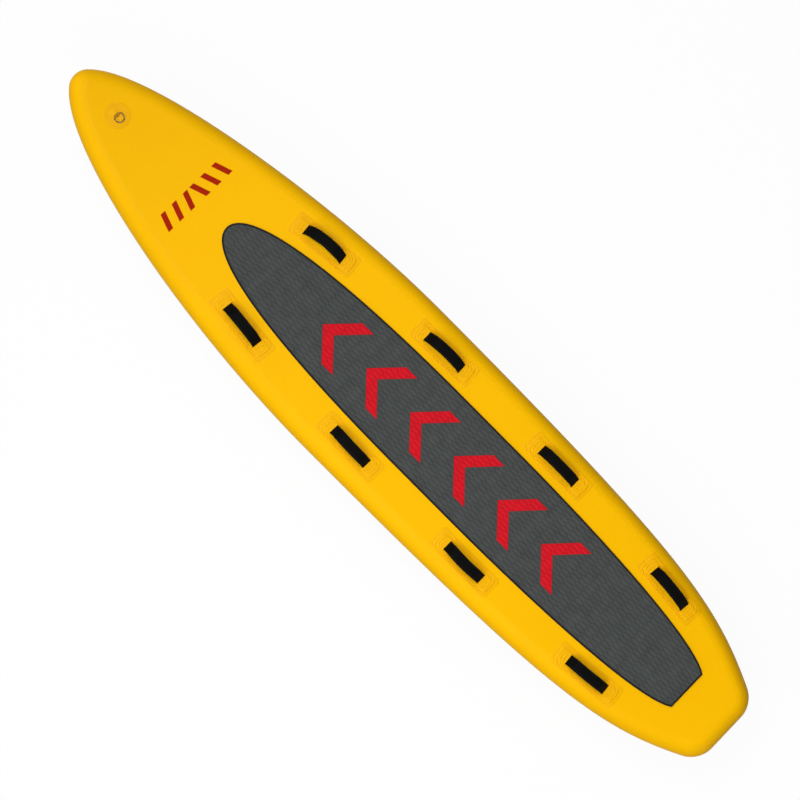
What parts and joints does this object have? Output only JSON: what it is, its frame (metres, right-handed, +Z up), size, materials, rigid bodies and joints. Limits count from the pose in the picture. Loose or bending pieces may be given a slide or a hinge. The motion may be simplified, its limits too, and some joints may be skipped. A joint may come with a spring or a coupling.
{
  "type": "inflatable rescue board",
  "caption": "Long pointed inflatable rescue board with a grooved deck pad, padded carry handles along both sides, a nose ring, and a valve and slide-in fin beneath.",
  "frame": {"origin": "on the flat bottom face, on the centre line, under the middle of the board's length", "axes": "+X towards the nose, +Y to port, +Z up out of the deck"},
  "size_m": [3.81, 0.806, 0.4207],
  "materials": {
    "chamber": "drop-stitch fabric, hidden",
    "hull_yellow": "coated fabric, satin with a fine textile grain",
    "rail_yellow": "coated fabric, satin",
    "patch_yellow": "coated fabric, satin, glued down",
    "pad_grey": "closed-cell foam, matte, fine grooves",
    "pad_red": "closed-cell foam, matte, fine grooves",
    "webbing_black": "woven polyester, matte",
    "grip_black": "padded neoprene cover, matte",
    "ring_steel": "stainless wire, polished",
    "tab_yellow": "coated webbing",
    "valve_grey": "moulded nylon, satin",
    "seal_black": "moulded rubber",
    "spring_steel": "stainless wire",
    "fin_box_black": "moulded PVC, satin",
    "fin_black": "moulded nylon, semi-gloss"
  },
  "bodies": {
    "hull": {"drop_stitch_core_1": "chamber", "drop_stitch_core_2": "chamber", "drop_stitch_core_3": "chamber", "drop_stitch_core_4": "chamber", "drop_stitch_core_5": "chamber", "drop_stitch_core_6": "chamber", "drop_stitch_core_7": "chamber", "deck_skin": "hull_yellow", "bottom_skin": "hull_yellow", "port_rail_band": "rail_yellow", "starboard_rail_band": "rail_yellow", "deck_pad": "pad_grey", "pad_chevron_1": "pad_red", "pad_chevron_2": "pad_red", "pad_chevron_3": "pad_red", "pad_chevron_4": "pad_red", "pad_chevron_5": "pad_red", "pad_chevron_6": "pad_red", "port_handle_1_patch": "patch_yellow", "port_handle_1_webbing": "webbing_black", "port_handle_2_patch": "patch_yellow", "port_handle_2_webbing": "webbing_black", "port_handle_3_patch": "patch_yellow", "port_handle_3_webbing": "webbing_black", "port_handle_4_patch": "patch_yellow", "port_handle_4_webbing": "webbing_black", "starboard_handle_1_patch": "patch_yellow", "starboard_handle_1_webbing": "webbing_black", "starboard_handle_2_patch": "patch_yellow", "starboard_handle_2_webbing": "webbing_black", "starboard_handle_3_patch": "patch_yellow", "starboard_handle_3_webbing": "webbing_black", "starboard_handle_4_patch": "patch_yellow", "starboard_handle_4_webbing": "webbing_black", "nose_ring_patch": "patch_yellow", "nose_ring_tab": "tab_yellow", "valve_body": "valve_grey", "valve_nut": "valve_grey", "valve_spring": "spring_steel", "fin_box": "fin_box_black"},
    "port_handle_1_grip": {"port_handle_1_grip": "grip_black"},
    "port_handle_2_grip": {"port_handle_2_grip": "grip_black"},
    "port_handle_3_grip": {"port_handle_3_grip": "grip_black"},
    "port_handle_4_grip": {"port_handle_4_grip": "grip_black"},
    "starboard_handle_1_grip": {"starboard_handle_1_grip": "grip_black"},
    "starboard_handle_2_grip": {"starboard_handle_2_grip": "grip_black"},
    "starboard_handle_3_grip": {"starboard_handle_3_grip": "grip_black"},
    "starboard_handle_4_grip": {"starboard_handle_4_grip": "grip_black"},
    "nose_ring": {"nose_ring": "ring_steel"},
    "valve_plunger": {"valve_plunger": "valve_grey", "valve_seal": "seal_black"},
    "valve_cap_ring": {"valve_cap_ring": "valve_grey"},
    "valve_cap": {"valve_cap": "valve_grey"},
    "fin": {"fin": "fin_black"}
  },
  "joints": [
    {"name": "port_handle_1_lean", "type": "hinge", "parent": "hull", "child": "port_handle_1_grip", "pos_m": [0.69742, 0.23761, 0.1513], "axis": [0.9945, -0.1045, 0], "range_deg": [-30, 30], "stiffness_Nm_per_rad": 0.05, "deforming": ["port_handle_1_webbing"]},
    {"name": "port_handle_2_lean", "type": "hinge", "parent": "hull", "child": "port_handle_2_grip", "pos_m": [0.03486, 0.27481, 0.1513], "axis": [0.9995, -0.0314, 0], "range_deg": [-30, 30], "stiffness_Nm_per_rad": 0.05, "deforming": ["port_handle_2_webbing"]},
    {"name": "port_handle_3_lean", "type": "hinge", "parent": "hull", "child": "port_handle_3_grip", "pos_m": [-0.62903, 0.27819, 0.1513], "axis": [1, 0, 0], "range_deg": [-30, 30], "stiffness_Nm_per_rad": 0.05, "deforming": ["port_handle_3_webbing"]},
    {"name": "port_handle_4_lean", "type": "hinge", "parent": "hull", "child": "port_handle_4_grip", "pos_m": [-1.31083, 0.24688, 0.1513], "axis": [0.9951, 0.0993, 0], "range_deg": [-30, 30], "stiffness_Nm_per_rad": 0.05, "deforming": ["port_handle_4_webbing"]},
    {"name": "starboard_handle_1_lean", "type": "hinge", "parent": "hull", "child": "starboard_handle_1_grip", "pos_m": [0.69742, -0.23761, 0.1513], "axis": [0.9945, 0.1045, 0], "range_deg": [-30, 30], "stiffness_Nm_per_rad": 0.05, "deforming": ["starboard_handle_1_webbing"]},
    {"name": "starboard_handle_2_lean", "type": "hinge", "parent": "hull", "child": "starboard_handle_2_grip", "pos_m": [0.03486, -0.27481, 0.1513], "axis": [0.9995, 0.0314, 0], "range_deg": [-30, 30], "stiffness_Nm_per_rad": 0.05, "deforming": ["starboard_handle_2_webbing"]},
    {"name": "starboard_handle_3_lean", "type": "hinge", "parent": "hull", "child": "starboard_handle_3_grip", "pos_m": [-0.62903, -0.27819, 0.1513], "axis": [1, 0, 0], "range_deg": [-30, 30], "stiffness_Nm_per_rad": 0.05, "deforming": ["starboard_handle_3_webbing"]},
    {"name": "starboard_handle_4_lean", "type": "hinge", "parent": "hull", "child": "starboard_handle_4_grip", "pos_m": [-1.31083, -0.24688, 0.1513], "axis": [0.9951, -0.0993, 0], "range_deg": [-30, 30], "stiffness_Nm_per_rad": 0.05, "deforming": ["starboard_handle_4_webbing"]},
    {"name": "nose_ring_swing", "type": "hinge", "parent": "hull", "child": "nose_ring", "pos_m": [1.65895, 0, 0.19734], "axis": [0, 1, 0], "range_deg": [0, 165]},
    {"name": "valve_plunger_push", "type": "slide", "parent": "hull", "child": "valve_plunger", "axis": [0, 0, 1], "range_m": [0, 0.005], "stiffness_N_per_m": 300, "deforming": ["valve_spring"]},
    {"name": "valve_cap_turn", "type": "hinge", "parent": "hull", "child": "valve_cap_ring", "pos_m": [-1.05, 0, -0.005], "axis": [0, 0, -1], "range_deg": [-90, 0]},
    {"name": "valve_cap_lift", "type": "slide", "parent": "valve_cap_ring", "child": "valve_cap", "axis": [0, 0, -1], "range_m": [0, 0.012]},
    {"name": "fin_slide", "type": "slide", "parent": "hull", "child": "fin", "axis": [1, 0, 0], "range_m": [0, 0.19]}
  ]
}
